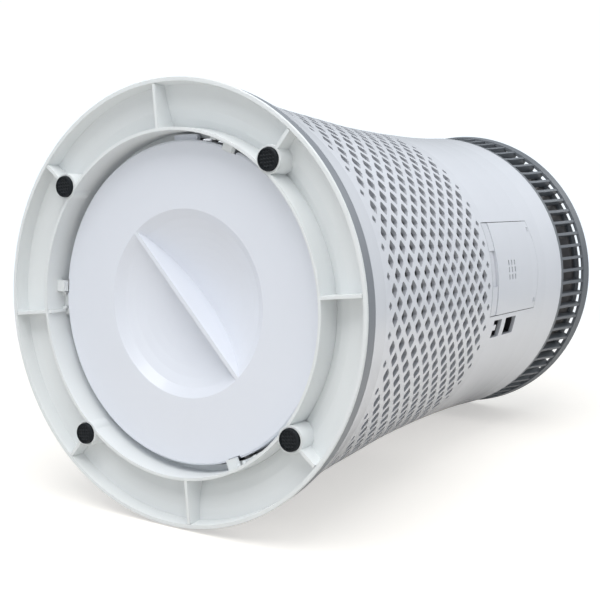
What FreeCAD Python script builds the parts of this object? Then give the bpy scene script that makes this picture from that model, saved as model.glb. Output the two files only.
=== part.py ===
"""Air purifier: a flared round tower that draws air in through its perforated lower
wall, through a cylindrical filter, and blows it out of a louvre round the top.

Millimetres, +Z up, feet standing on Z = 0, rear of the machine towards +Y.
"""
import FreeCAD, Part
import math, os

V = FreeCAD.Vector
Z_AXIS = V(0, 0, 1)
ORIGIN = V(0, 0, 0)

# ---------------------------------------------------------------- driving sizes
OVERALL_HEIGHT = 383.0     # feet to the top of the rim
BASE_RADIUS = 127.5        # widest radius, at the base ring
WAIST_RADIUS = BASE_RADIUS - 21.5   # narrowest radius of the outer shell
SHELL_WALL = 2.5
GAP = 0.3                  # clearance between curved faces of neighbouring mouldings

# base
FOOT_HEIGHT = 2.0          # how far the pads stand below the base rim
FOOT_PAD_RADIUS = 6.2
FOOT_CIRCLE_RADIUS = BASE_RADIUS - 22.5
FOOT_BOSS_RADIUS = 7.8
RIB_THICKNESS = 2.0
CHANNEL_RADIUS_IN = BASE_RADIUS - 27.5   # outside of the base's inner wall
INNER_WALL = 2.0
INNER_WALL_TOP = 40.0
INNER_LIP_RADIUS = CHANNEL_RADIUS_IN - 5.3   # collar above the cover's lugs
ACCENT_BOTTOM = 3.0
ACCENT_TOP = 12.5

# shell and intake holes
SHELL_TOP = OVERALL_HEIGHT - 52.3
HOLE_COLUMNS = 96
HOLE_ROWS = 11
HOLE_FIRST = 45.4          # first full hole of the long columns
HOLE_PITCH = (SHELL_TOP - 140.3 - HOLE_FIRST) / (HOLE_ROWS - 1)
HOLE_HALF = 4.7            # half diagonal before the corners are softened

# top louvre
FIN_COUNT = 72
FIN_THICKNESS = 2.2
RIM_HEIGHT = 9.0
RIM_RADIUS = WAIST_RADIUS + 5.3
INNER_RING_RADIUS = WAIST_RADIUS - 4.0

# filter and its cover
COVER_RADIUS = CHANNEL_RADIUS_IN - 6.7
COVER_FACE = 14.4
COVER_WALL = 2.5
DISH_RADIUS = 54.5
DISH_DEPTH = 16.0
GRIP_ANGLE = 142.8
GRIP_THICKNESS = 2.4
FILTER_RADIUS = COVER_RADIUS - 3.3
FILTER_BORE = 60.2
FILTER_BOTTOM = 22.0
PLEATS = 60
LOCK_TWIST = 16.0
LEDGE_ANGLES = (20.0, 157.0, 273.0)
LOCK_TAB_RADIUS = COVER_RADIUS - 1.3   # reach of the tabs that hold the turned cover
LOCK_TAB_HALF = 2.0                    # degrees

# fan and motor
DECK_BOTTOM = SHELL_TOP - 130.7
DECK_THICKNESS = 4.0
DUCT_RADIUS = WAIST_RADIUS - 30.0   # inside of the fan housing
DUCT_WALL = 2.5
IMPELLER_RADIUS = DUCT_RADIUS - 4.0
IMPELLER_HEIGHT = 42.5
BLADES = 9
VANES = 11
SHAFT_RADIUS = 4.0
RUNNING = 0.03             # running clearance of shafts and pins

FLANGE_RADIUS = WAIST_RADIUS - 18.0
FLANGE_SCREW_CIRCLE = FLANGE_RADIUS - 4.5
BOARD_FACE = DUCT_RADIUS + 10.0    # distance of the power board from the axis

# sensor door
DOOR_ANGLE = 88.0
SENSOR_BACK = DUCT_RADIUS + 5.0
SENSOR_FRONT = WAIST_RADIUS - 8.5
DOOR_HALF_WIDTH = 31.2
DOOR_BOTTOM = DECK_BOTTOM + 4.3
DOOR_SEAM = 0.4
RAMP_LENGTH = 10.5         # finger ramp across the door's lower end
SCOOP_HALF = 12.0
HINGE_X = WAIST_RADIUS - 9.0
HINGE_Z = DOOR_BOTTOM + 88.1
HINGE_SWEEP = 10.5
HINGE_PIN_RADIUS = 1.25
SLOT_ANGLES = (-1.6, 1.0, 3.7)
SLOT_HEIGHTS = (DOOR_BOTTOM + 30.6, DOOR_BOTTOM + 35.9, DOOR_BOTTOM + 41.2)

# power inlet
INLET_ANGLE = 110.3
INLET_HALF_WIDTH = 6.2
CORD_CELL = (DOOR_BOTTOM + 9.2, DOOR_BOTTOM + 22.7)
SOCKET_CELL = (DOOR_BOTTOM + 29.7, DOOR_BOTTOM + 47.7)

# control panel
PANEL_SEAT = OVERALL_HEIGHT - 9.0
PANEL_RADIUS = INNER_RING_RADIUS - 2.6
BUTTON_RADIUS = 7.0
BUTTON_CIRCLE = 52.0
BUTTON_TRAVEL = 0.8
BUTTONS = {"button_power": 240.0, "button_speed": 260.0,
           "button_timer": 280.0, "button_light": 300.0}

# flare of the shell beyond its waist, at fractions of the shell's height
SHELL_FLARE = ((0.0, 20.2), (0.06, 15.9), (0.125, 12.6), (0.19, 10.3), (0.25, 8.7),
               (0.315, 6.8), (0.375, 5.0), (0.44, 3.4), (0.52, 2.1), (0.62, 0.8),
               (0.74, 0.1), (0.83, 0.0), (0.91, 0.4), (1.0, 1.6))

NODES = {}


# ---------------------------------------------------------------- small helpers
def cyl(r, z0, z1, x=0.0, y=0.0):
    return Part.makeCylinder(r, z1 - z0, V(x, y, z0), Z_AXIS)


def tube(r0, r1, z0, z1):
    return cyl(r1, z0, z1).cut(cyl(r0, z0 - 1, z1 + 1))


def block(x0, x1, y0, y1, z0, z1):
    return Part.makeBox(x1 - x0, y1 - y0, z1 - z0, V(x0, y0, z0))


def turned(shape, angle):
    out = shape.copy()
    out.rotate(ORIGIN, Z_AXIS, angle)
    return out


def around(shape, angles):
    return [turned(shape, a) for a in angles]


def lathe(points):
    """Solid of revolution from (radius, height) points joined by straight lines."""
    poly = [V(r, 0, z) for r, z in points]
    face = Part.Face(Part.makePolygon(poly + poly[:1]))
    return face.revolve(ORIGIN, Z_AXIS, 360)


def plate(points, thickness):
    """Upright plate through the axis, from (radius, height) points."""
    poly = [V(r, -thickness / 2, z) for r, z in points]
    return Part.Face(Part.makePolygon(poly + poly[:1])).extrude(V(0, thickness, 0))


def prism(points, z0, z1):
    poly = [V(x, y, z0) for x, y in points]
    return Part.Face(Part.makePolygon(poly + poly[:1])).extrude(V(0, 0, z1 - z0))


def sector(r0, r1, z0, z1, half_angle):
    """Ring sector centred on +X, cut by planes through the axis."""
    ring = Part.makeCylinder(r1, z1 - z0, V(0, 0, z0), Z_AXIS, 2 * half_angle)
    ring = ring.cut(cyl(r0, z0 - 1, z1 + 1))
    return turned(ring, -half_angle)


def join(shapes):
    first = shapes[0]
    return first.fuse(shapes[1:]).removeSplitter() if len(shapes) > 1 else first


def less(shape, tools):
    return shape.cut(Part.makeCompound(tools))


def place(shape, x=0.0, y=0.0, z=0.0, angle=0.0):
    out = shape.copy()
    out.translate(V(x, y, z))
    return turned(out, angle)


def put(name, shape):
    solids = shape if isinstance(shape, list) else shape.Solids
    NODES[name] = solids[0] if len(solids) == 1 else Part.makeCompound(solids)


def shell_stations(inset=0.0):
    length = SHELL_TOP - ACCENT_TOP
    return [(WAIST_RADIUS + flare - inset, ACCENT_TOP + f * length) for f, flare in SHELL_FLARE]


def shell_radius(z, inset=0.0):
    """Radius of the shell's outer face at a height."""
    st = shell_stations(inset)
    for (r0, z0), (r1, z1) in zip(st, st[1:]):
        if z <= z1:
            return r0 + (r1 - r0) * (z - z0) / (z1 - z0)
    return st[-1][0]


FEET = (45.0, 135.0, 225.0, 315.0)
DECK_TOP = DECK_BOTTOM + DECK_THICKNESS


# ---------------------------------------------------------------- base
def base_ring():
    rim = FOOT_HEIGHT
    lip = BASE_RADIUS
    inner = CHANNEL_RADIUS_IN - INNER_WALL
    under = [(lip - 3.6, rim + 8.8), (lip - 10.0, rim + 9.6), (lip - 17.0, rim + 11.0),
             (lip - 23.0, rim + 13.2), (CHANNEL_RADIUS_IN, rim + 15.6)]
    profile = [(lip - 2.6, rim), (lip - 0.4, rim), (lip, rim + 0.5), (lip, ACCENT_BOTTOM),
               (lip - 2.3, ACCENT_BOTTOM), (lip - 2.3, ACCENT_TOP - GAP), (lip - 3.4, ACCENT_TOP - GAP),
               (lip - 10.0, rim + 12.2), (lip - 17.0, rim + 13.6), (lip - 23.0, rim + 15.8),
               (CHANNEL_RADIUS_IN, rim + 18.2), (CHANNEL_RADIUS_IN, INNER_WALL_TOP),
               (inner, INNER_WALL_TOP), (inner, rim), (CHANNEL_RADIUS_IN - 0.2, rim)]
    body = lathe(profile + under[::-1])
    rib = plate([(CHANNEL_RADIUS_IN - 1, rim), (lip - 3, rim), (lip - 3, rim + 9.5),
                 (lip - 17, rim + 12), (CHANNEL_RADIUS_IN - 1, rim + 16.5)], RIB_THICKNESS)
    ribs = around(rib, [45 * k for k in range(8)])
    boss = cyl(FOOT_BOSS_RADIUS, rim, rim + 14, FOOT_CIRCLE_RADIUS)
    post = cyl(5.5, rim + 13, INNER_WALL_TOP, FOOT_CIRCLE_RADIUS)
    tie = block(CHANNEL_RADIUS_IN - 1, FOOT_CIRCLE_RADIUS, -4, 4, rim + 15, INNER_WALL_TOP)
    bosses = around(boss, FEET) + around(post, FEET) + around(tie, FEET)
    ledges = []
    for a in LEDGE_ANGLES:
        ledges.append(turned(sector(inner - 3, inner + 0.5, 17.0, 18.7, 5.7), a + 1.2))
        ledges.append(turned(sector(inner - 3, inner + 0.5, 15.0, 18.7, 0.45), a - 2.0))
        ledges.append(turned(sector(inner - 3, inner + 0.5, 15.0, 18.7, 0.6), a + 3.2))
        ledges.append(turned(sector(inner - 3, inner + 0.5, 13.0, 23.4, 0.8), a + 6.2))
        ledges.append(turned(sector(LOCK_TAB_RADIUS, inner + 0.5, 10.6, 14.0, LOCK_TAB_HALF), a + 6.2))
    ledges.append(tube(INNER_LIP_RADIUS, inner + 0.5, 24.0, 26.0))
    key = turned(block(inner - 2.0, inner + 0.5, -1, 1, rim + 1, 16), 270)
    body = join([body] + ribs + bosses + ledges + [key])
    pocket = cyl(FOOT_PAD_RADIUS + GAP, rim - 1, rim + 1.2, FOOT_CIRCLE_RADIUS)
    counterbore = cyl(4.0, rim, rim + 6, FOOT_CIRCLE_RADIUS)
    hole = cyl(2.2, rim, INNER_WALL_TOP + 1, FOOT_CIRCLE_RADIUS)
    put("base_ring", less(body, around(pocket, FEET) + around(counterbore, FEET) + around(hole, FEET)))


def foot_pads():
    r, x = FOOT_PAD_RADIUS, FOOT_CIRCLE_RADIUS
    pad = cyl(r, 0, FOOT_HEIGHT + 1.2, x)
    edge = [e for e in pad.Edges if abs(e.BoundBox.ZMax) < 1e-6 and e.BoundBox.XLength > r]
    pad = pad.makeFillet(0.6, edge)
    put("foot_pads", around(pad, FEET))


def base_screws():
    x, top = FOOT_CIRCLE_RADIUS, FOOT_HEIGHT + 6
    screw = cyl(3.6, top - 2.6, top, x).fuse(cyl(2.0, top, INNER_WALL_TOP + 3.5, x))
    screw = screw.removeSplitter().cut(block(x - 2.6, x + 2.6, -0.4, 0.4, top - 3, top - 1.4))
    put("base_screws", around(screw, FEET))


def accent_ring():
    out = BASE_RADIUS - 0.3
    top = shell_radius(ACCENT_TOP)
    inner = BASE_RADIUS - 2.3 + GAP
    put("accent_ring", lathe([(inner, ACCENT_BOTTOM), (out, ACCENT_BOTTOM), (out - 0.1, ACCENT_BOTTOM + 2),
                              (top - 0.1, ACCENT_TOP), (inner, ACCENT_TOP)]))


# ---------------------------------------------------------------- outer shell
def wall(inset_out=0.0):
    outer = shell_stations(inset_out)
    inner = shell_stations(SHELL_WALL)
    return lathe(outer + inner[::-1])


def intake_hole(z, half):
    """Diamond prism pointing outwards along +X, with its four tips cut back."""
    tip = half * 0.86
    nib = half - tip
    pts = [(nib, -tip), (tip, -nib), (tip, nib), (nib, tip), (-nib, tip), (-tip, nib), (-tip, -nib), (-nib, -tip)]
    poly = [V(WAIST_RADIUS - 12, y, z + h) for y, h in pts]
    return Part.Face(Part.makePolygon(poly + poly[:1])).extrude(V(34, 0, 0))


def intake_holes():
    long_column = [(HOLE_FIRST + HOLE_PITCH * k, HOLE_HALF) for k in range(HOLE_ROWS)]
    start = HOLE_FIRST + HOLE_PITCH / 2
    short_column = [(start - HOLE_PITCH, HOLE_HALF * 0.55)]
    short_column += [(start + HOLE_PITCH * k, HOLE_HALF) for k in range(HOLE_ROWS - 1)]
    short_column += [(start + HOLE_PITCH * (HOLE_ROWS - 1), HOLE_HALF * 0.55)]
    columns = ([intake_hole(*h) for h in long_column], [intake_hole(*h) for h in short_column])
    step = 360.0 / HOLE_COLUMNS
    return [turned(h, step * k) for k in range(HOLE_COLUMNS) for h in columns[k % 2]]


def hinge_cylinder(radius):
    w = DOOR_HALF_WIDTH + 6
    return Part.makeCylinder(radius, 2 * w, V(HINGE_X, -w, HINGE_Z), V(0, 1, 0))


def door_zone(margin, sweep):
    """Space the door fills in the wall: its top edge is an arc about the hinge line."""
    w = DOOR_HALF_WIDTH + margin
    zone = block(WAIST_RADIUS - 20, WAIST_RADIUS + 10, -w, w, DOOR_BOTTOM - margin, HINGE_Z)
    return zone.cut(hinge_cylinder(sweep))


def hinge_ears():
    """Two pairs of ears moulded inside the shell above the door."""
    ears = []
    for side in (-1, 1):
        for y in (22.0, 29.0):
            ear = block(HINGE_X - 3.2, WAIST_RADIUS - 4.2, y - 1.6, y + 1.6, HINGE_Z, HINGE_Z + 13)
            ear = ear.fuse(Part.makeCylinder(3.2, 3.2, V(HINGE_X, y - 1.6, HINGE_Z), V(0, 1, 0)))
            if side < 0:
                ear = ear.mirror(ORIGIN, V(0, 1, 0))
            ears.append(ear)
    return ears


def outer_shell():
    lug = block(WAIST_RADIUS - 7.0, shell_radius(DECK_TOP + 3) - 1.2, -6, 6, DECK_TOP, DECK_TOP + 5)
    body = wall().fuse(around(lug, FEET) + around(Part.makeCompound(hinge_ears()), (DOOR_ANGLE,)))
    bore = Part.makeCylinder(HINGE_PIN_RADIUS + RUNNING, 80, V(HINGE_X, -40, HINGE_Z), V(0, 1, 0))
    w = DOOR_HALF_WIDTH
    slit = block(WAIST_RADIUS - 20, WAIST_RADIUS + 10, -w, w, DOOR_BOTTOM - 0.8, DOOR_BOTTOM + 1)
    door = [turned(s, DOOR_ANGLE) for s in (door_zone(DOOR_SEAM, HINGE_SWEEP - DOOR_SEAM), bore, slit)]
    w = INLET_HALF_WIDTH
    hook = block(WAIST_RADIUS - 26, WAIST_RADIUS + 24, -2.9, 0.9, CORD_CELL[0] - 1, CORD_CELL[0] + 4.6)
    cells = [turned(block(WAIST_RADIUS - 16, WAIST_RADIUS + 14, -w, w, *SOCKET_CELL), INLET_ANGLE),
             turned(block(WAIST_RADIUS - 16, WAIST_RADIUS + 14, -w, w, *CORD_CELL).cut(hook), INLET_ANGLE)]
    body = less(body, door + cells)
    put("outer_shell", less(body, intake_holes()))


# ---------------------------------------------------------------- sensor door
def sensor_door():
    panel = wall().common(door_zone(0.0, HINGE_SWEEP))
    arms = [goose_arm(25.5), goose_arm(-25.5)]
    slots = [turned(block(WAIST_RADIUS - 16, WAIST_RADIUS + 9, -1.75, 1.75, z - 0.8, z + 0.8), a) for a in SLOT_ANGLES for z in SLOT_HEIGHTS]
    boss = cyl(5.2, 0, 4.2)
    boss.rotate(ORIGIN, V(0, 1, 0), 90)
    boss.translate(V(WAIST_RADIUS - SHELL_WALL - 3, 0, DOOR_BOTTOM + 8))
    door = panel.fuse(arms + [boss, scoop_backing()]).removeSplitter()
    bore = Part.makeCylinder(HINGE_PIN_RADIUS + 0.01, 80, V(HINGE_X, -40, HINGE_Z), V(0, 1, 0))
    door = less(door, slots + [bore] + door_ramp())
    put("sensor_door", turned(door, DOOR_ANGLE))


def door_ramp():
    """Wedges cut from the door's lower end: a ramp that sinks to a step, deeper for a finger at its middle."""
    z0, z1 = DOOR_BOTTOM - 1, DOOR_BOTTOM + RAMP_LENGTH
    r0, r1, out = shell_radius(z0) - 0.1, shell_radius(z1), WAIST_RADIUS + 12
    ramp, scoop = [lathe([(r0, z0), (out, z0), (out, z1), (r1 - depth, z1)]) for depth in (0.7, 1.9)]
    return [ramp, scoop.common(block(WAIST_RADIUS - 20, out, -SCOOP_HALF, SCOOP_HALF, z0 - 1, z1 + 1))]


def scoop_backing():
    """Thickening behind the finger scoop."""
    back = WAIST_RADIUS - SHELL_WALL
    pad = tube(back - 2.2, shell_radius(DOOR_BOTTOM + RAMP_LENGTH) - SHELL_WALL + 0.6, DOOR_BOTTOM + 1.0, DOOR_BOTTOM + RAMP_LENGTH + 3)
    return pad.common(block(WAIST_RADIUS - 20, WAIST_RADIUS + 12, -SCOOP_HALF - 2, SCOOP_HALF + 2, DOOR_BOTTOM, DOOR_BOTTOM + 40))


def goose_arm(y):
    """Swan-neck arm: it reaches the hinge pin from behind, so it clears the wall's edge."""
    t = 3.0
    band = Part.makeCylinder(14.2, t, V(0, 0, 0), Z_AXIS, 92).cut(cyl(10.9, -1, t + 1))
    band.rotate(ORIGIN, Z_AXIS, -152)
    bar = block(-12.6, 0, -2.2, 2.2, 0, t)
    bar.rotate(ORIGIN, Z_AXIS, 32)
    arm = band.fuse([bar, cyl(3.0, 0, t)]).removeSplitter()
    arm.rotate(ORIGIN, V(1, 0, 0), 90)
    arm.translate(V(HINGE_X, y + t / 2, HINGE_Z))
    return arm


def door_fittings():
    pin = Part.makeCylinder(HINGE_PIN_RADIUS, 9.6, V(HINGE_X, 20.7, HINGE_Z), V(0, 1, 0))
    pins = [turned(pin, DOOR_ANGLE), turned(pin.mirror(ORIGIN, V(0, 1, 0)), DOOR_ANGLE)]
    put("door_hinge_pins", pins)
    x = WAIST_RADIUS - SHELL_WALL - 3
    magnet = Part.makeCylinder(4.0, 2.0, V(x - 2, 0, DOOR_BOTTOM + 8), V(1, 0, 0))
    put("door_magnet", turned(magnet, DOOR_ANGLE))


def sensor_bay():
    """Tray behind the door, the dust sensor it holds and the door's catch plate."""
    back, front, w = SENSOR_BACK, SENSOR_FRONT, 24.0
    z0, z1 = DECK_TOP + 16, DECK_TOP + 70
    tray = block(back, front, -w, w, z0, z1).cut(block(back + 2, front + 1, -w + 2, w - 2, z0 + 2, z1 - 2))
    shelf = block(FLANGE_RADIUS + 2, front + 0.4, -8, 8, DOOR_BOTTOM + 2, z0 + 1)
    tray = tray.fuse([shelf]).removeSplitter()
    put("sensor_tray", turned(tray, DOOR_ANGLE))
    plate_ = block(front + 0.4, front + 0.7, -7, 7, DOOR_BOTTOM + 2.5, z0 - 0.5)
    put("catch_plate", turned(plate_, DOOR_ANGLE))
    body = block(back + 2, back + 13, -19, 19, z0 + 2, z0 + 42)
    port = Part.makeCylinder(4, 4, V(back + 11, 8, z0 + 12), V(1, 0, 0))
    vents = [block(back + 12, back + 14, -15, -3, z0 + 8 + 4 * k, z0 + 10 + 4 * k) for k in range(7)]
    put("particle_sensor", turned(less(body, [port] + vents), DOOR_ANGLE))
    lens = Part.makeCylinder(3.7, 1.2, V(back + 11, 8, z0 + 12), V(1, 0, 0))
    put("sensor_lens", turned(lens, DOOR_ANGLE))


# ---------------------------------------------------------------- power inlet
def power_inlet():
    w = INLET_HALF_WIDTH
    back, z0, z1 = DUCT_RADIUS + 8, CORD_CELL[0] - 3, SOCKET_CELL[1] + 3
    body = block(back, WAIST_RADIUS + 6, -w - 1.8, w + 1.8, z0, z1)
    body = body.common(cyl(WAIST_RADIUS - SHELL_WALL - GAP, z0 - 1, z1 + 1))
    cells = [block(back + 2, WAIST_RADIUS + 9, -w, w, a, b) for a, b in (CORD_CELL, SOCKET_CELL)]
    hook = block(back + 6, WAIST_RADIUS - 6.5, -1.6, 1.6, CORD_CELL[0] - 0.5, CORD_CELL[0] + 5)
    catch = block(WAIST_RADIUS - 9, WAIST_RADIUS - 6.5, -1.6, 1.6, CORD_CELL[0] + 4, CORD_CELL[0] + 8)
    pocket = less(body, cells).fuse([hook, catch]).removeSplitter()
    put("inlet_pocket", turned(pocket, INLET_ANGLE))
    a, b = SOCKET_CELL
    mid = (a + b) / 2
    socket = block(back + 2, back + 10, -w + GAP, w - GAP, a + GAP, b - GAP)
    recess = [Part.makeCylinder(3.9, 6.2, V(back + 4, 0, mid + s * 4.0), V(1, 0, 0)) for s in (-1, 1)]
    recess.append(block(back + 4, back + 11, -3.2, 3.2, mid - 4, mid + 4))
    socket = less(socket, recess)
    put("power_socket", turned(socket, INLET_ANGLE))
    pins = [Part.makeCylinder(1.2, 5.4, V(back + 4, 0, mid + s * 4.3), V(1, 0, 0)) for s in (-1, 1)]
    put("socket_pins", around(Part.makeCompound(pins), (INLET_ANGLE,))[0])


# ---------------------------------------------------------------- inner frame and fan
def inner_frame():
    ring = tube(CHANNEL_RADIUS_IN - 4.5, CHANNEL_RADIUS_IN + 1.5, INNER_WALL_TOP, INNER_WALL_TOP + 4)
    lug = cyl(6, INNER_WALL_TOP, INNER_WALL_TOP + 4, FOOT_CIRCLE_RADIUS)
    column = sector(CHANNEL_RADIUS_IN - 4, CHANNEL_RADIUS_IN + 0.5, INNER_WALL_TOP + 3, DECK_BOTTOM + 1, 3.4)
    deck = tube(54.0, WAIST_RADIUS - 2.7, DECK_BOTTOM, DECK_TOP)
    body = join([ring, deck] + around(lug, FEET) + around(column, [30 + 60 * k for k in range(6)]))
    rabbet = cyl(58 + GAP, DECK_TOP - 2, DECK_TOP + 1)
    holes = around(cyl(2.05, INNER_WALL_TOP - 1, INNER_WALL_TOP + 5, FOOT_CIRCLE_RADIUS), FEET)
    screws = around(cyl(2.05, DECK_BOTTOM - 1, DECK_TOP + 1, FLANGE_SCREW_CIRCLE), (0, 90, 180, 270))
    put("inner_frame", less(body, [rabbet] + holes + screws))


def fan_guard():
    z0, z1 = DECK_TOP - 2, DECK_TOP
    rings = [tube(r, r + 2, z0, z1) for r in (13, 23, 33, 43)]
    spoke = block(6, 56, -1, 1, z0, z1)
    put("fan_guard", join([tube(54, 58, z0, z1), cyl(8, z0, z1)] + rings + around(spoke, [60 * k for k in range(6)])))


HOUSING_TOP = DECK_TOP + 100
LEDGE_TOP = DECK_TOP + 58


def fan_housing():
    r, t = DUCT_RADIUS, DUCT_WALL
    floor = tube(50.0, FLANGE_RADIUS, DECK_TOP, DECK_TOP + 3)
    nozzle = tube(50.0, 52.0, DECK_TOP, DECK_TOP + 8)
    wall_ = tube(r, r + t, DECK_TOP, HOUSING_TOP)
    ledge = lathe([(r - 1.8, LEDGE_TOP - 2), (r - 1.8, LEDGE_TOP), (r + 0.5, LEDGE_TOP), (r + 0.5, LEDGE_TOP - 5)])
    pads = [turned(block(r + 0.5, SENSOR_BACK, -14, 14, DECK_TOP + 22, DECK_TOP + 64), DOOR_ANGLE),
            turned(block(r + 0.5, r + 8, -5, 5, CORD_CELL[0], SOCKET_CELL[1]), INLET_ANGLE)]
    inner = math.sqrt(r * r - 25.0 ** 2) + 0.2
    posts = [turned(block(inner, BOARD_FACE, y - 3, y + 3, z - 3, z + 3), 225)
             for y in (-28, 28) for z in (DECK_TOP + 18, DECK_TOP + 76)]
    body = join([floor, nozzle, wall_, ledge] + pads + posts)
    holes = around(cyl(2.2, DECK_TOP - 1, DECK_TOP + 4, FLANGE_SCREW_CIRCLE), (0, 90, 180, 270))
    put("fan_housing", less(body, holes))


def fan_screws():
    x = FLANGE_SCREW_CIRCLE
    screw = cyl(3.4, DECK_TOP + 3, DECK_TOP + 5.4, x).fuse(cyl(2.0, DECK_BOTTOM + 0.5, DECK_TOP + 3, x))
    screw = screw.removeSplitter()
    screw = screw.cut(block(x - 2.5, x + 2.5, -0.4, 0.4, DECK_TOP + 4.2, DECK_TOP + 6))
    put("fan_screws", around(screw, (0, 90, 180, 270)))


IMP_BOTTOM = DECK_TOP + 9
IMP_TOP = IMP_BOTTOM + IMPELLER_HEIGHT
HUB_TOP = IMP_TOP + 1.5
MOUNT_BOTTOM = IMP_TOP + 2.5


def blade():
    """Backward-curved blade swept by an arc of constant thickness."""
    r0, r1 = 40.0, IMPELLER_RADIUS - 0.3
    pts = []
    for k in range(7):
        f = k / 6.0
        r = r0 + (r1 - r0) * f
        a = math.radians(-52 * f ** 1.15)
        pts.append((r * math.cos(a), r * math.sin(a)))
    left, right = [], []
    for i, (x, y) in enumerate(pts):
        x0, y0 = pts[max(i - 1, 0)]
        x1, y1 = pts[min(i + 1, 6)]
        n = math.hypot(x1 - x0, y1 - y0)
        dx, dy = -(y1 - y0) / n * 1.1, (x1 - x0) / n * 1.1
        left.append((x + dx, y + dy))
        right.append((x - dx, y - dy))
    return prism(left + right[::-1], IMP_BOTTOM + 1.5, IMP_TOP - 2)


def impeller():
    shroud = tube(54.0, IMPELLER_RADIUS, IMP_BOTTOM, IMP_BOTTOM + 2)
    back = cyl(IMPELLER_RADIUS, IMP_TOP - 2.5, IMP_TOP)
    hub = cyl(12, IMP_TOP - 9, HUB_TOP)
    web = lathe([(11, IMP_TOP - 9), (30, IMP_TOP - 2.2), (11, IMP_TOP - 2.2)])
    blades = [b.common(cyl(IMPELLER_RADIUS, IMP_BOTTOM, IMP_TOP)) for b in around(blade(), [360.0 / BLADES * k for k in range(BLADES)])]
    body = join([back, shroud, hub, web] + blades)
    put("impeller", body.cut(cyl(SHAFT_RADIUS + 0.02, IMP_BOTTOM - 20, IMP_TOP + 20)))


def rotor_parts():
    r = SHAFT_RADIUS
    nut_top = IMP_TOP - 9
    shaft = join([cyl(r, nut_top - 8, MOTOR_TOP - 0.8), cyl(7, HUB_TOP, HUB_TOP + 0.9),
                  cyl(6, CORE_BOTTOM - 1.6, CORE_BOTTOM)])
    put("motor_shaft", shaft)
    hexagon = [(7 * math.cos(math.radians(60 * k)), 7 * math.sin(math.radians(60 * k))) for k in range(6)]
    put("impeller_nut", prism(hexagon, nut_top - 6, nut_top).cut(cyl(r + 0.02, nut_top - 9, nut_top + 1)))
    put("motor_rotor", tube(r + 0.02, 16.8, CORE_BOTTOM, CORE_BOTTOM + 14))


MOTOR_BOTTOM = MOUNT_BOTTOM + 2.5
CORE_BOTTOM = MOTOR_BOTTOM + 11.5
MOTOR_TOP = MOTOR_BOTTOM + 36.5


def motor():
    z0, z1 = MOTOR_BOTTOM, MOTOR_TOP - 2.5
    can = cyl(30, z0, z1).cut(cyl(28, z0 + 2.5, z1 + 1))
    seat = tube(11 + GAP, 14, z0 + 2, z0 + 9)
    step = tube(24, 28.5, z0 + 9.5, CORE_BOTTOM)
    put("motor_can", join([can, seat, step]).cut(cyl(9, z0 - 1, z0 + 3)))
    cap = cyl(30, z1, MOTOR_TOP).cut(cyl(9, z1 - 1, MOTOR_TOP + 1))
    put("motor_end_cap", cap.fuse(tube(11 + GAP, 14, z1 - 7, z1)).removeSplitter())
    race = tube(SHAFT_RADIUS + RUNNING, 11, z0 + 2.5, z0 + 9.5)
    upper = tube(SHAFT_RADIUS + RUNNING, 11, z1 - 7, z1)
    put("motor_bearings", [race, upper])
    teeth = around(block(17.6, 25, -2, 2, CORE_BOTTOM, CORE_BOTTOM + 14), [40 * k for k in range(9)])
    shoes = around(sector(17.4, 19.0, CORE_BOTTOM, CORE_BOTTOM + 14, 13), [40 * k for k in range(9)])
    put("motor_stator", join([tube(24, 28 - GAP, CORE_BOTTOM, CORE_BOTTOM + 14)] + teeth + shoes))
    coil = block(19.3, 23.3, -4.2, 4.2, CORE_BOTTOM - 1.2, CORE_BOTTOM + 15.2)
    coil = coil.cut(block(19, 24, -2, 2, CORE_BOTTOM, CORE_BOTTOM + 14))
    put("motor_windings", around(coil, [40 * k for k in range(9)]))


MOUNT_TOP = HOUSING_TOP - 4


def motor_mount():
    z0 = MOUNT_BOTTOM
    bowl = tube(52, 54, z0, MOUNT_TOP)
    floor = tube(12, 53, z0, z0 + 2.5)
    rim = tube(DUCT_RADIUS - 2.3, DUCT_RADIUS - GAP, LEDGE_TOP, LEDGE_TOP + 32)
    vane = block(53, DUCT_RADIUS - 1.5, -0.9, 0.9, -16, 16)
    vane.rotate(ORIGIN, V(1, 0, 0), 24)
    vane.translate(V(0, 0, LEDGE_TOP + 16))
    vanes = [v.common(cyl(DUCT_RADIUS - 1, LEDGE_TOP, LEDGE_TOP + 32)) for v in around(vane, [360.0 / VANES * k for k in range(VANES)])]
    body = join([bowl, floor, rim] + vanes)
    holes = around(cyl(1.55, z0 - 1, z0 + 4, 21), (0, 90, 180, 270))
    put("motor_mount", less(body, holes))


def motor_screws():
    z0 = MOUNT_BOTTOM
    screw = cyl(2.4, z0 - 1.6, z0, 21).fuse(cyl(1.5, z0, z0 + 2.5, 21)).removeSplitter()
    put("motor_screws", around(screw, (0, 90, 180, 270)))


def power_board():
    x, low = BOARD_FACE, DECK_TOP + 12
    board = block(x, x + 1.6, -34, 34, low, low + 70)
    put("power_board", turned(board, 225))
    f = x + 1.6
    parts = [block(f, f + 9.5, -16, 6, low + 8, low + 30),
             Part.makeCylinder(4.6, 8.5, V(f, 16, low + 14), V(1, 0, 0)),
             Part.makeCylinder(4.6, 8.5, V(f, 16, low + 28), V(1, 0, 0)),
             block(f, f + 5, -28, -20, low + 8, low + 36),
             block(f, f + 6, -8, 8, low + 46, low + 60),
             block(f, f + 4, 14, 28, low + 46, low + 54)]
    put("board_components", turned(Part.makeCompound(parts), 225))


# ---------------------------------------------------------------- outlet
RIM_BOTTOM = OVERALL_HEIGHT - RIM_HEIGHT
RING_TOP = OVERALL_HEIGHT - 4.0


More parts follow.
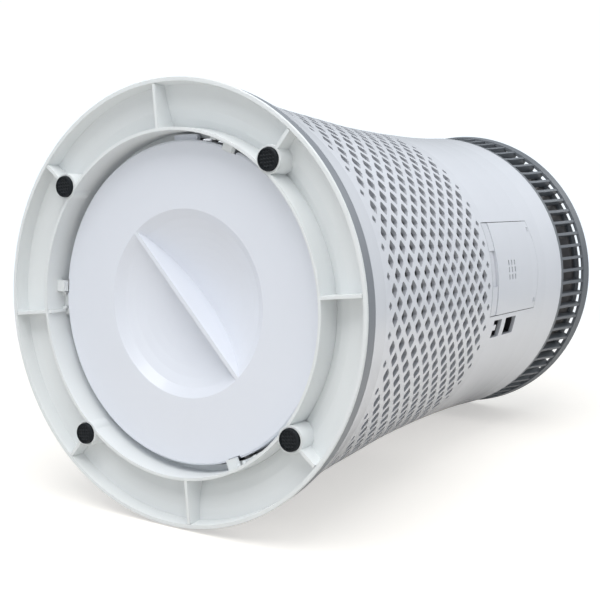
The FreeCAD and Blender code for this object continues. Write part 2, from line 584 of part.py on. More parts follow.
def air_deflector():
    base = MOUNT_TOP
    span = OVERALL_HEIGHT - 16 - base
    r0, r1 = 54.0, INNER_RING_RADIUS - GAP
    outer = [(r0 + (r1 - r0) * f, base + span * g) for f, g in ((0, 0), (0, 0.1), (0.16, 0.34), (0.42, 0.58), (0.74, 0.8), (1, 1))]
    inner = [(r - 2.0, z + (0.0 if k < 2 else 1.2)) for k, (r, z) in enumerate(outer)]
    lip = RING_TOP
    profile = outer + [(r1, lip), (r1 + 2.2, lip), (r1 + 2.2, lip + 1.4), (r1 - 2, lip + 1.4),
                       (r1 - 2, PANEL_SEAT), (r1 - 5, PANEL_SEAT), (r1 - 5, PANEL_SEAT - 2), (r1 - 2, PANEL_SEAT - 5)]
    put("air_deflector", lathe(profile + inner[::-1]))


def outlet_duct():
    r, t = DUCT_RADIUS, DUCT_WALL
    top = SHELL_TOP
    out = shell_radius(top, SHELL_WALL) - GAP
    put("outlet_duct", lathe([(r, HOUSING_TOP), (r + t, HOUSING_TOP), (r + t + 2, HOUSING_TOP + 3), (out, top - 4),
                              (out, top), (out - t, top), (out - t, top - 3), (r + 2, HOUSING_TOP + 4)]))


def top_grille():
    foot = SHELL_TOP
    r = shell_radius(SHELL_TOP)
    ring = lathe([(r - 7, foot), (r, foot), (r + 0.1, foot + 4), (r - 7, foot + 4)])
    rim = lathe([(RIM_RADIUS - 3.6, RIM_BOTTOM), (RIM_RADIUS - 1.3, RIM_BOTTOM), (RIM_RADIUS - 0.2, OVERALL_HEIGHT - 2),
                 (RIM_RADIUS, OVERALL_HEIGHT - 1), (RIM_RADIUS - 0.6, OVERALL_HEIGHT), (RIM_RADIUS - 4.6, OVERALL_HEIGHT),
                 (RIM_RADIUS - 5.2, OVERALL_HEIGHT - 1)])
    inner = tube(INNER_RING_RADIUS, INNER_RING_RADIUS + 2, RING_TOP - 7, RING_TOP)
    fin = plate([(r - 6.4, foot + 3), (r - 0.7, foot + 3), (r - 0.1, foot + 19), (r + 1.0, foot + 31),
                 (RIM_RADIUS - 1.9, RIM_BOTTOM + 1), (RIM_RADIUS - 3, RING_TOP), (INNER_RING_RADIUS + 1.2, RING_TOP)],
                FIN_THICKNESS)
    fins = around(fin, [360.0 / FIN_COUNT * (k + 0.5) for k in range(FIN_COUNT)])
    put("top_grille", join([ring, rim, inner] + fins))


# ---------------------------------------------------------------- controls
PANEL_TOP = PANEL_SEAT + 6.5


def button_xy(angle):
    a = math.radians(angle)
    return BUTTON_CIRCLE * math.cos(a), BUTTON_CIRCLE * math.sin(a)


def control_panel():
    seat, top = PANEL_SEAT, PANEL_TOP
    skin = lathe([(0, top - 2.5), (PANEL_RADIUS - 2.5, top - 2.5), (PANEL_RADIUS - 2.5, seat), (PANEL_RADIUS, seat),
                  (PANEL_RADIUS, top - 1.0), (PANEL_RADIUS - 1.0, top), (0, top)])
    post = cyl(3.0, BOARD_TOP, top - 1, 66)
    body = join([skin] + around(post, FEET))
    cuts = [cyl(BUTTON_RADIUS + GAP, seat, top + 1, *button_xy(a)) for a in BUTTONS.values()]
    cuts += [cyl(24 + GAP, top - 1.5, top + 1), cyl(16, seat, top), tube(34, 36.6, top - 1.2, top + 1)]
    cuts += around(cyl(1.3, BOARD_TOP - 1, BOARD_TOP + 5, 66), FEET)
    put("control_panel", less(body, cuts))
    put("display_window", cyl(24, top - 1.5, top))
    put("light_ring", tube(34 + 0.3, 36.6 - 0.3, top - 1.2, top - 0.1))


BOARD_TOP = PANEL_SEAT - 4.4


def buttons():
    top = PANEL_TOP
    for name, angle in BUTTONS.items():
        x, y = button_xy(angle)
        cap = cyl(BUTTON_RADIUS, top - 4.0, top + 0.8, x, y)
        edge = [e for e in cap.Edges if e.BoundBox.ZMin > top + 0.7]
        cap = cap.makeFillet(0.5, edge)
        flange = cyl(BUTTON_RADIUS + 1.5, top - 4.0, top - 2.5, x, y)
        stem = cyl(2.0, BOARD_TOP + 4.4 + BUTTON_TRAVEL + 0.1, top - 3.5, x, y)
        put(name, join([cap, flange, stem]))


def control_board():
    put("control_board", less(cyl(70, BOARD_TOP - 1.6, BOARD_TOP),
                              around(cyl(1.4, BOARD_TOP - 2, BOARD_TOP + 1, 66), FEET)))
    switches = []
    for a in BUTTONS.values():
        x, y = button_xy(a)
        body = block(x - 3, x + 3, y - 3, y + 3, BOARD_TOP, BOARD_TOP + 3.2)
        switches.append(body.fuse(cyl(1.6, BOARD_TOP + 3, BOARD_TOP + 4.4, x, y)).removeSplitter())
    put("tact_switches", switches)
    screw = cyl(2.4, BOARD_TOP - 3.4, BOARD_TOP - 1.6, 66).fuse(cyl(1.2, BOARD_TOP - 1.6, BOARD_TOP + 4, 66))
    put("board_screws", around(screw.removeSplitter(), FEET))


# ---------------------------------------------------------------- filter and cover
def dish_surface(offset):
    """Half section of the dished recess as (radius, height) points, raised by an offset."""
    pts = []
    for k in range(11):
        f = k / 10.0
        pts.append((DISH_RADIUS * f, COVER_FACE + DISH_DEPTH * (1 - f * f) ** 0.8 + offset))
    return pts


def filter_cover():
    face, t, r = COVER_FACE, COVER_WALL, COVER_RADIUS
    under = dish_surface(0.0)
    over = [(rr, z) for rr, z in dish_surface(t)]
    over[-1] = (DISH_RADIUS + 1.5, face + t)
    body = lathe(under + [(r - 1.0, face), (r, face + 1.0), (r, face + 11.6), (r - t, face + 11.6), (r - t, face + t)] + over[::-1])
    grip = block(-DISH_RADIUS - 1, DISH_RADIUS + 1, -GRIP_THICKNESS / 2, GRIP_THICKNESS / 2, face, face + DISH_DEPTH + 1.5)
    mound = grip_mound().common(lathe([(0, face), (DISH_RADIUS, face)] + [(rr, z) for rr, z in over[:-1]][::-1]))
    grip = grip.common(lathe([(0, face), (DISH_RADIUS + 1, face), (DISH_RADIUS + 1, face + 1)] + over[:-1][::-1]))
    lug = sector(r - 1, r + 3.3, 19.0, 22.0, 5.0)
    rib = block(DISH_RADIUS + 5, r - 1.5, -1, 1, face + t - 0.5, FILTER_BOTTOM)
    body = join([body, turned(grip, GRIP_ANGLE), turned(mound, GRIP_ANGLE)]
                + around(lug, [a - LOCK_TWIST for a in LEDGE_ANGLES]) + around(rib, [60 * k for k in range(6)]))
    notch = sector(LOCK_TAB_RADIUS - GAP, r + 1, face - 1, face + 12, LOCK_TAB_HALF + 0.6)
    put("filter_cover", less(body, around(notch, [a + 6.2 for a in LEDGE_ANGLES])))


def grip_mound():
    """Ridge under the grip bar that widens towards the floor of the dish."""
    z0, z1 = COVER_FACE, COVER_FACE + DISH_DEPTH + 2
    poly = [V(0, -GRIP_THICKNESS / 2, z0), V(0, GRIP_THICKNESS / 2, z0), V(0, 4.5, z1), V(0, -4.5, z1)]
    ridge = Part.Face(Part.makePolygon(poly + poly[:1])).extrude(V(2 * DISH_RADIUS, 0, 0))
    ridge.translate(V(-DISH_RADIUS, 0, 0))
    return ridge


def filter_cartridge():
    z0, z1 = FILTER_BOTTOM, DECK_BOTTOM - 5
    r, b = FILTER_RADIUS, FILTER_BORE
    dome = COVER_FACE + DISH_DEPTH + COVER_WALL + 1.5
    put("filter_bottom_cap", lathe([(0, dome), (b - 4.5, dome), (b - 2.2, z0), (r, z0), (r, z0 + 8), (r - 1.8, z0 + 8),
                                    (r - 1.8, z0 + 2.5), (b - 0.4, z0 + 2.5), (b - 2.4, dome + 2.5), (0, dome + 2.5)]))
    put("filter_top_cap", lathe([(b - 0.4, z1 - 2.5), (r - 1.8, z1 - 2.5), (r - 1.8, z1 - 8), (r, z1 - 8), (r, z1), (b - 0.4, z1)]))
    put("filter_gasket", tube(b + 2, r - 4, z1, DECK_BOTTOM))
    low, high = z0 + 2.5, z1 - 2.5
    step = math.pi / PLEATS
    zig = [((r - 3.0, b + 5.8)[k % 2], k * step) for k in range(2 * PLEATS)]
    zag = [((r - 6.0, b + 2.8)[k % 2], k * step) for k in range(2 * PLEATS)]
    outer = prism([(q * math.cos(a), q * math.sin(a)) for q, a in zig], low, high)
    inner = prism([(q * math.cos(a), q * math.sin(a)) for q, a in zag], low - 1, high + 1)
    put("filter_media", outer.cut(inner))
    core = tube(b, b + 1.5, low, high)
    window = block(b - 2, b + 4, -9.5, 9.5, 0, 17)
    rows = int((high - low - 8) // 20)
    windows = [place(window, z=low + 4 + 20 * k, angle=30 * n) for k in range(rows) for n in range(12)]
    put("filter_core", less(core, windows))
    put("carbon_sleeve", tube(r - 1.7, r - 0.7, z0 + 8, z1 - 8))
    strap = block(66, 86, -8, 8, z0 - 0.9, z0)
    put("filter_pull_tab", turned(strap.fuse(block(66, 68, -8, 8, z0 - 4, z0 - 0.5)).removeSplitter(), 30))


def build():
    base_ring(); foot_pads(); base_screws(); accent_ring(); outer_shell()
    sensor_door(); door_fittings(); sensor_bay(); power_inlet()
    inner_frame(); fan_guard(); fan_housing(); fan_screws()
    impeller(); rotor_parts(); motor(); motor_mount(); motor_screws(); power_board()
    air_deflector(); outlet_duct(); top_grille()
    control_panel(); buttons(); control_board()
    filter_cover(); filter_cartridge()


build()
os.makedirs("parts", exist_ok=True)
for name, shape in NODES.items():
    if not shape.isValid() or not shape.Solids:
        raise ValueError("bad solid: " + name)
    shape.exportStep("parts/%s.step" % name)
    box = shape.BoundBox
    print("%-18s solids %2d faces %5d  z %7.2f %7.2f  r %.1f" % (
        name, len(shape.Solids), len(shape.Faces), box.ZMin, box.ZMax, max(box.XMax, box.YMax)))
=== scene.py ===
"""Finishes and looks for a flared round air purifier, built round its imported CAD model."""

import math

import bmesh
import bpy
from mathutils import Matrix, Vector


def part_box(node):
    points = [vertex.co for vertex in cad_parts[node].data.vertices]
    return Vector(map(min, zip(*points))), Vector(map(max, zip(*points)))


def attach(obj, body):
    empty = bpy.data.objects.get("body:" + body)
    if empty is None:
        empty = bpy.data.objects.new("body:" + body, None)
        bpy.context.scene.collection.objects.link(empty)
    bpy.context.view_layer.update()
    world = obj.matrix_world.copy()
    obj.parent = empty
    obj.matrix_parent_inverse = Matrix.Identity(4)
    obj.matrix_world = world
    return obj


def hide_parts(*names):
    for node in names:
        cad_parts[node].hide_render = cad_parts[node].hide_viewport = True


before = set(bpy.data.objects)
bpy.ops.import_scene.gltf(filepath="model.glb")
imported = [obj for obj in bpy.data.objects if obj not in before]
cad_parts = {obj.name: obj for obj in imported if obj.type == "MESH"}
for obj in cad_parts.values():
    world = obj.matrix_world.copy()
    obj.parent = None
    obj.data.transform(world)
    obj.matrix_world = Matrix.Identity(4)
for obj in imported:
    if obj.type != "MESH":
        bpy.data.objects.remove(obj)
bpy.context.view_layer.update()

bl_info = {
    "name": "Air purifier looks",
    "version": (1, 0, 0),
    "blender": (4, 5, 0),
    "location": "View3D > Sidebar > Purifier",
    "description": "Builds the finishes, detailed pieces and studio of a round air purifier",
    "category": "Object",
}

# Studio directions: the purifier lies on its flank, so the studio's up is nearly +X.
STUDIO_UP = Vector((0.9921, 0.1181, -0.0420)).normalized()
STUDIO_DROP = -0.1280
STANDING_DROP = -0.0004
STUDIO_CENTRE = Vector((0.0, 0.02, 0.16))
BACKDROP_STRENGTH = 1.15

# The floor glows a little, more so in the camera's own view, and fades out between two distances.
FLOOR_GLOW = 0.11
FLOOR_GLOW_SEEN = 0.40
FLOOR_FADE_FROM = 0.45
FLOOR_FADE_TO = 1.1
CAMERA_AT = Vector((0.02343, 0.40886, -0.48357))
CAMERA_AIM = Vector((-0.04084, -0.55177, 0.83300)).normalized()
CAMERA_TOP = Vector((0.99626, 0.04101, 0.07601)).normalized()
LENS_MM = 67.21

# Where the filter's seam and pull tab sit round the machine's axis.
SEAM_ANGLE = math.radians(-150)
TAB_ANGLE = math.radians(30)

# Stitches of thread.
STITCH_WIDTH = 0.0005
STITCH_PROUD = 0.0002

# Filter sleeve: its slight waviness, bound edges, lap and seam.
SLEEVE_WAVES = 60
SLEEVE_WAVE_HEIGHT = 0.00022
SLEEVE_ROWS = 12
BINDING_WIDTH = 0.0045
LAP_WIDTH = 0.014
LAP_THICKNESS = 0.00025
SEAM_OFFSET = 0.0048

# Pull tab of woven tape.
TAB_WIDTH = 0.016
TAB_THICKNESS = 0.0006
TAB_BEND = 0.0017
TAB_ROWS = 6

# Foot pads: height of the studs, and the bare ring outside them.
STUD_HEIGHT = 0.0005
TREAD_MARGIN = 0.0019

# Key symbols: stroke width and ring radius.
STROKE = 0.00045
SYMBOL_RADIUS = 0.0021


# ------------------------------------------------------------------ settings
class PurifierFinish(bpy.types.PropertyGroup):
    """Colours and surface values of the mouldings."""

    shell_colour: bpy.props.FloatVectorProperty(
        name="Shell", description="Glossy outer shell", subtype="COLOR", size=3,
        default=(0.85, 0.87, 0.925), min=0.0, max=1.0)
    base_colour: bpy.props.FloatVectorProperty(
        name="Base", description="Base ring with its channel and ribs", subtype="COLOR", size=3,
        default=(0.832, 0.854, 0.857), min=0.0, max=1.0)
    cover_colour: bpy.props.FloatVectorProperty(
        name="Filter cover", description="Twist-off filter cover", subtype="COLOR", size=3,
        default=(0.835, 0.86, 0.925), min=0.0, max=1.0)
    louvre_colour: bpy.props.FloatVectorProperty(
        name="Louvre", description="Slate louvre round the top", subtype="COLOR", size=3,
        default=(0.165, 0.180, 0.200), min=0.0, max=1.0)
    accent_colour: bpy.props.FloatVectorProperty(
        name="Accent band", description="Band above the base ring", subtype="COLOR", size=3,
        default=(0.250, 0.268, 0.298), min=0.0, max=1.0)
    pad_colour: bpy.props.FloatVectorProperty(
        name="Pads", description="Rubber foot pads", subtype="COLOR", size=3,
        default=(0.004, 0.0062, 0.0085), min=0.0, max=1.0)
    edge_radius: bpy.props.FloatProperty(
        name="Edge radius", description="Softening of moulded edges", unit="LENGTH",
        default=0.0005, min=0.0, max=0.003)


class PurifierSoftParts(bpy.types.PropertyGroup):
    """Sizes of the pads and of the filter's soft parts."""

    pad_radius: bpy.props.FloatProperty(
        name="Pad radius", description="Radius of a foot pad", unit="LENGTH", default=0.0062, min=0.003, max=0.012)
    tread_pitch: bpy.props.FloatProperty(
        name="Tread pitch", description="Spacing of the studs under a pad", unit="LENGTH",
        default=0.0019, min=0.0008, max=0.004)
    pleats: bpy.props.IntProperty(
        name="Pleats", description="Folds in the filter paper", default=120, min=20, max=240)
    paper_thickness: bpy.props.FloatProperty(
        name="Paper thickness", description="Thickness of the filter paper", unit="LENGTH",
        default=0.0005, min=0.0002, max=0.002)
    sleeve_thickness: bpy.props.FloatProperty(
        name="Sleeve thickness", description="Thickness of the carbon fabric", unit="LENGTH",
        default=0.00035, min=0.0002, max=0.001)
    stitch_pitch: bpy.props.FloatProperty(
        name="Stitch pitch", description="Spacing of the stitches", unit="LENGTH",
        default=0.0034, min=0.001, max=0.01)


class PurifierStudio(bpy.types.PropertyGroup):
    """Lights and floor."""

    key_power: bpy.props.FloatProperty(
        name="Key light", description="Overhead softbox, watts", default=14.6, min=0.0, max=500.0)
    fill_power: bpy.props.FloatProperty(
        name="Fill light", description="Softbox beside the camera, watts", default=1.1, min=0.0, max=500.0)
    back_power: bpy.props.FloatProperty(
        name="Back light", description="Strip beyond the louvre, watts", default=3.2, min=0.0, max=500.0)
    sky_light: bpy.props.FloatProperty(
        name="Sky light", description="Light from the white surround", default=0.49, min=0.0, max=5.0)
    sky_colour: bpy.props.FloatVectorProperty(
        name="Sky colour", description="Tint of the white surround", subtype="COLOR", size=3,
        default=(0.88, 0.94, 1.0), min=0.0, max=1.0)
    floor_colour: bpy.props.FloatVectorProperty(
        name="Floor", description="Pale floor", subtype="COLOR", size=3,
        default=(0.64, 0.61, 0.565), min=0.0, max=1.0)
    floor_size: bpy.props.FloatProperty(
        name="Floor size", description="Side of the floor", unit="LENGTH", default=9.0, min=1.0, max=50.0)


# ------------------------------------------------------------------ shader helpers
def group(name, inputs, outputs):
    """Node group with the sockets given: its tree, group input and group output."""
    tree = bpy.data.node_groups.new(name, "ShaderNodeTree")
    for label, kind, default in inputs:
        socket = tree.interface.new_socket(name=label, in_out="INPUT", socket_type=kind)
        if default is not None:
            socket.default_value = default
    for label, kind in outputs:
        tree.interface.new_socket(name=label, in_out="OUTPUT", socket_type=kind)
    return tree, tree.nodes.new("NodeGroupInput"), tree.nodes.new("NodeGroupOutput")


def add(tree, kind, **values):
    """Node of a kind; a name with a leading underscore sets the input socket of that name."""
    node = tree.nodes.new(kind)
    for key, value in values.items():
        if key.startswith("_"):
            node.inputs[key[1:].replace("_", " ")].default_value = value
        else:
            setattr(node, key, value)
    return node


def maths(tree, operation, a, b=None, clamp=False):
    """Math node's result for two sockets or numbers."""
    node = tree.nodes.new("ShaderNodeMath")
    node.operation, node.use_clamp = operation, clamp
    for k, value in enumerate((a, b)):
        if value is None:
            continue
        if isinstance(value, (int, float)):
            node.inputs[k].default_value = value
        else:
            tree.links.new(value, node.inputs[k])
    return node.outputs[0]


def tint(tree, factor, a, b):
    """Colour between a and b, each a socket or an (r, g, b)."""
    node = tree.nodes.new("ShaderNodeMix")
    node.data_type = "RGBA"
    for socket, value in ((node.inputs[0], factor), (node.inputs[6], a), (node.inputs[7], b)):
        if hasattr(value, "links"):
            tree.links.new(value, socket)
        elif isinstance(value, (int, float)):
            socket.default_value = value
        else:
            socket.default_value = (*value, 1.0)
    return node.outputs[2]


def rough_by(tree, shader, mask, spread, lowest):
    """Roughness that rises from its lowest value with a mask."""
    tree.links.new(maths(tree, "ADD", maths(tree, "MULTIPLY", mask, spread), lowest), shader.inputs["Roughness"])


def relief(tree, shader, height, strength, distance, normal=None):
    """Bump on a shader's normal."""
    bump = add(tree, "ShaderNodeBump", _Strength=strength, _Distance=distance)
    tree.links.new(height, bump.inputs["Height"])
    if normal is not None:
        tree.links.new(normal, bump.inputs["Normal"])
    tree.links.new(bump.outputs[0], shader.inputs["Normal"])


def times(colour, factor, lift=0.0):
    """Colour made lighter or darker, up to white."""
    return tuple(min(1.0, c * factor + lift) for c in colour)


def noise(tree, coords, **values):
    node = add(tree, "ShaderNodeTexNoise", **values)
    tree.links.new(coords, node.inputs["Vector"])
    return node.outputs["Fac"]


def moulded_grain():
    """Spark-eroded grain, slow flow marks and fine dust of a moulded plastic."""
    tree, gin, gout = group("moulded_grain", [
        ("Vector", "NodeSocketVector", None), ("Grain size", "NodeSocketFloat", 0.0006),
        ("Flow", "NodeSocketFloat", 0.5)], [
        ("Height", "NodeSocketFloat"), ("Flow mask", "NodeSocketFloat"), ("Speck", "NodeSocketFloat")])
    scale = maths(tree, "DIVIDE", 1.0, gin.outputs["Grain size"])
    fine = noise(tree, gin.outputs["Vector"], _Detail=3.0, _Roughness=0.6)
    tree.links.new(scale, fine.node.inputs["Scale"])
    flow = noise(tree, gin.outputs["Vector"], _Scale=14.0, _Detail=4.0, _Distortion=0.8)
    speck = add(tree, "ShaderNodeTexVoronoi", _Scale=260.0)
    tree.links.new(gin.outputs["Vector"], speck.inputs["Vector"])
    dots = maths(tree, "LESS_THAN", speck.outputs["Distance"], 0.045)
    blend = maths(tree, "MULTIPLY", flow, gin.outputs["Flow"])
    tree.links.new(fine, gout.inputs["Height"])
    tree.links.new(blend, gout.inputs["Flow mask"])
    tree.links.new(dots, gout.inputs["Speck"])
    return tree


def edge_mask():
    """1 along outer edges, where handling polishes and lightens the plastic."""
    tree, gin, gout = group("edge_mask", [
        ("Radius", "NodeSocketFloat", 0.0008), ("Vector", "NodeSocketVector", None)], [("Mask", "NodeSocketFloat")])
    bevel = add(tree, "ShaderNodeBevel", samples=4)
    tree.links.new(gin.outputs["Radius"], bevel.inputs["Radius"])
    shape = add(tree, "ShaderNodeNewGeometry")
    dot = add(tree, "ShaderNodeVectorMath", operation="DOT_PRODUCT")
    tree.links.new(bevel.outputs[0], dot.inputs[0])
    tree.links.new(shape.outputs["Normal"], dot.inputs[1])
    edge = maths(tree, "SUBTRACT", 1.0, dot.outputs["Value"])
    edge = maths(tree, "MULTIPLY", edge, 6.0, clamp=True)
    breakup = noise(tree, gin.outputs["Vector"], _Scale=90.0, _Detail=3.0)
    edge = maths(tree, "MULTIPLY", edge, breakup, clamp=True)
    tree.links.new(edge, gout.inputs["Mask"])
    return tree


def painted_hole_shade_mask():
    """1 on faces that look sideways or inwards, such as the sides of a hole in a round wall: the mask for painted shade
    on hole sides and inner faces.
    """
    tree, gin, gout = group("painted_hole_shade_mask", [("Vector", "NodeSocketVector", None)], [("Mask", "NodeSocketFloat")])
    flat = add(tree, "ShaderNodeVectorMath", operation="MULTIPLY")
    flat.inputs[1].default_value = (1.0, 1.0, 0.0)
    tree.links.new(gin.outputs["Vector"], flat.inputs[0])
    outward = add(tree, "ShaderNodeVectorMath", operation="NORMALIZE")
    tree.links.new(flat.outputs[0], outward.inputs[0])
    shape = add(tree, "ShaderNodeNewGeometry")
    dot = add(tree, "ShaderNodeVectorMath", operation="DOT_PRODUCT")
    tree.links.new(outward.outputs[0], dot.inputs[0])
    tree.links.new(shape.outputs["True Normal"], dot.inputs[1])
    ramp = add(tree, "ShaderNodeMapRange", _From_Min=0.55, _From_Max=0.8, _To_Min=1.0, _To_Max=0.0)
    tree.links.new(dot.outputs["Value"], ramp.inputs["Value"])
    tree.links.new(ramp.outputs[0], gout.inputs["Mask"])
    return tree


GROUP_BUILDERS = {"moulded_grain": moulded_grain, "edge_mask": edge_mask, "painted_hole_shade_mask": painted_hole_shade_mask}
GROUPS = {}


def shared(name):
    """Node group of that name, built the first time that it is asked for."""
    if name not in GROUPS:
        GROUPS[name] = GROUP_BUILDERS[name]()
    return GROUPS[name]


def place_group(tree, name, **values):
    node = tree.nodes.new("ShaderNodeGroup")
    node.node_tree = shared(name)
    for key, value in values.items():
        node.inputs[key.replace("_", " ")].default_value = value
    return node


def surface(name):
    """Empty material: itself, its tree, its principled shader and its Object coordinates."""
    material = bpy.data.materials.new(name)
    material.use_nodes = True
    tree = material.node_tree
    tree.nodes.clear()
    shader = tree.nodes.new("ShaderNodeBsdfPrincipled")
    out = tree.nodes.new("ShaderNodeOutputMaterial")
    tree.links.new(shader.outputs[0], out.inputs["Surface"])
    coords = tree.nodes.new("ShaderNodeTexCoord").outputs["Object"]
    return material, tree, shader, coords


def plastic(name, colour, rough, grain=0.0006, depth=0.03, coat=0.0, edge=0.0005, painted_hole_shade=0.0):
    """Moulded plastic: fine grain, slow flow marks, softened and lightly polished edges, and, if asked, painted shade
    darkening hole sides and inner faces.
    """
    material, tree, shader, coords = surface(name)
    texture = place_group(tree, "moulded_grain", Grain_size=grain, Flow=0.8)
    mask = place_group(tree, "edge_mask", Radius=max(edge, 0.0003))
    for node in (texture, mask):
        tree.links.new(coords, node.inputs["Vector"])
    flow = texture.outputs["Flow mask"]
    shade = tint(tree, flow, colour, times(colour, 0.955))
    shade = tint(tree, maths(tree, "MULTIPLY", mask.outputs[0], 0.35), shade, times(colour, 1.06, 0.01))
    shade = tint(tree, maths(tree, "MULTIPLY", texture.outputs["Speck"], 0.05), shade, times(colour, 0.6))
    # Painted shade: faces that look sideways or inwards, such as hole sides and the inner surface, are darkened towards
    # near black.
    if painted_hole_shade:
        hole_shade = place_group(tree, "painted_hole_shade_mask")
        tree.links.new(coords, hole_shade.inputs["Vector"])
        shade = tint(tree, maths(tree, "MULTIPLY", hole_shade.outputs[0], painted_hole_shade), shade, times(colour, 0.06))
    tree.links.new(shade, shader.inputs["Base Color"])
    rough_by(tree, shader, flow, 0.10, rough - 0.03)
    shader.inputs["IOR"].default_value = 1.49
    if coat:
        shader.inputs["Coat Weight"].default_value = coat
        shader.inputs["Coat Roughness"].default_value = 0.06
    soft = add(tree, "ShaderNodeBevel", samples=4, _Radius=edge)
    relief(tree, shader, texture.outputs["Height"], depth, 0.0004, soft.outputs[0])
    return material


def metal(name, colour, rough, turned_z=False):
    """Machined or drawn metal with fine tool lines."""
    material, tree, shader, coords = surface(name)
    stretch = add(tree, "ShaderNodeMapping")
    stretch.inputs["Scale"].default_value = (1.0, 1.0, 14.0) if turned_z else (14.0, 14.0, 1.0)
    tree.links.new(coords, stretch.inputs["Vector"])
    lines = noise(tree, stretch.outputs[0], _Scale=300.0, _Detail=4.0)
    tree.links.new(tint(tree, lines, colour, times(colour, 0.8)), shader.inputs["Base Color"])
    rough_by(tree, shader, lines, 0.2, rough - 0.1)
    shader.inputs["Metallic"].default_value = 1.0
    relief(tree, shader, lines, 0.08, 0.0002)
    return material


def rubber(name, colour):
    """Moulded rubber with a dusty bloom."""
    material, tree, shader, coords = surface(name)
    dust = noise(tree, coords, _Scale=700.0, _Detail=5.0)
    shade = tint(tree, maths(tree, "MULTIPLY", dust, 0.5), colour, times(colour, 2.0, 0.003))
    tree.links.new(shade, shader.inputs["Base Color"])
    rough_by(tree, shader, dust, 0.2, 0.5)
    shader.inputs["Specular IOR Level"].default_value = 0.3
    relief(tree, shader, dust, 0.3, 0.0002)
    return material


def woven(name, colour, size):
    """Fabric with an over-and-under weave of that pitch, round and along a cylinder of about 90 mm radius."""
    material, tree, shader, coords = surface(name)
    split = add(tree, "ShaderNodeSeparateXYZ")
    tree.links.new(coords, split.inputs[0])
    angle = maths(tree, "ARCTAN2", split.outputs[1], split.outputs[0])
    turns = 2 * math.pi / size
    across = maths(tree, "SINE", maths(tree, "MULTIPLY", angle, 0.09 * turns))
    along = maths(tree, "SINE", maths(tree, "MULTIPLY", split.outputs[2], turns))
    weave = maths(tree, "MULTIPLY", across, along)
    fibre = noise(tree, coords, _Scale=900.0, _Detail=5.0)
    tree.links.new(tint(tree, fibre, times(colour, 0.7), times(colour, 1.5, 0.01)), shader.inputs["Base Color"])
    rough_by(tree, shader, fibre, 0.15, 0.8)
    shader.inputs["Sheen Weight"].default_value = 0.2
    relief(tree, shader, maths(tree, "ADD", weave, fibre), 0.5, 0.0003)
    return material


def paper(name, colour):
    """Glass-fibre filter paper."""
    material, tree, shader, coords = surface(name)
    fibre = noise(tree, coords, _Scale=1400.0, _Detail=6.0, _Roughness=0.7)
    tree.links.new(tint(tree, fibre, colour, times(colour, 0.85)), shader.inputs["Base Color"])
    rough_by(tree, shader, fibre, 0.1, 0.85)
    relief(tree, shader, fibre, 0.4, 0.0002)
    return material


def foam(name, colour):
    """Open-celled foam: pits of several sizes, painted darker inside as painted shade."""
    material, tree, shader, coords = surface(name)
    cells = add(tree, "ShaderNodeTexVoronoi", _Scale=1100.0)
    big = add(tree, "ShaderNodeTexVoronoi", _Scale=420.0)
    for node in (cells, big):
        tree.links.new(coords, node.inputs["Vector"])
    height = maths(tree, "ADD", cells.outputs["Distance"], maths(tree, "MULTIPLY", big.outputs["Distance"], 0.6))
    # Painted shade: the colour darkens towards each cell's centre, where the pits of the relief lie.
    shade = tint(tree, cells.outputs["Distance"], times(colour, 0.5), times(colour, 1.8))
    tree.links.new(shade, shader.inputs["Base Color"])
    rough_by(tree, shader, big.outputs["Distance"], 0.1, 0.85)
    relief(tree, shader, height, 0.6, 0.0006)
    return material


def circuit(name):
    """Solder-masked board with tracks and pads."""
    material, tree, shader, coords = surface(name)
    cells = add(tree, "ShaderNodeTexVoronoi", distance="CHEBYCHEV", _Scale=190.0, _Randomness=0.55)
    tree.links.new(coords, cells.inputs["Vector"])
    track = maths(tree, "LESS_THAN", cells.outputs["Distance"], 0.28)
    pad = maths(tree, "LESS_THAN", cells.outputs["Distance"], 0.09)
    mask = tint(tree, track, (0.012, 0.10, 0.045), (0.02, 0.17, 0.075))
    tree.links.new(tint(tree, pad, mask, (0.62, 0.60, 0.55)), shader.inputs["Base Color"])
    tree.links.new(maths(tree, "SUBTRACT", 0.42, maths(tree, "MULTIPLY", pad, 0.15)), shader.inputs["Roughness"])
    tree.links.new(pad, shader.inputs["Metallic"])
    relief(tree, shader, track, 0.3, 0.0001)
    return material


def clear_lens(name):
    """Clear moulded lens with a slight haze."""
    material, tree, shader, coords = surface(name)
    haze = noise(tree, coords, _Scale=400.0, _Detail=2.0)
    tree.links.new(maths(tree, "MULTIPLY", haze, 0.08), shader.inputs["Roughness"])
    shader.inputs["Base Color"].default_value = (0.92, 0.95, 0.97, 1.0)
    shader.inputs["Transmission Weight"].default_value = 1.0
    shader.inputs["IOR"].default_value = 1.49
    return material


def dress(material, *names):
    """Gives a carried-over CAD node its finish."""
    for name in names:
        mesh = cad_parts[name].data
        mesh.materials.clear()
        mesh.materials.append(material)


# ------------------------------------------------------------------ piece helpers
def radii(name):
    """Smallest and largest distance of a CAD node from the machine's axis."""
    distances = [v.co.xy.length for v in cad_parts[name].data.vertices]
    return min(distances), max(distances)


def finished(name, bm, material, body, slot, *replaced):
    """Turns a bmesh into a piece that rides on a body and stands for the CAD nodes named."""
    mesh = bpy.data.meshes.new(name)
    bm.to_mesh(mesh)
    bm.free()
    mesh.materials.append(material)
    piece = bpy.data.objects.new(name, mesh)
    bpy.context.scene.collection.objects.link(piece)
    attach(piece, body)
    if replaced:
        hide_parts(*replaced)
    return piece


def of_kind(geometry, kind):
    return [item for item in geometry if isinstance(item, kind)]


def thicken(bm, thickness):
    """Gives an open surface the thickness of its cloth or paper."""
    bmesh.ops.recalc_face_normals(bm, faces=bm.faces)
    bmesh.ops.solidify(bm, geom=bm.faces, thickness=thickness)
    bmesh.ops.recalc_face_normals(bm, faces=bm.faces)


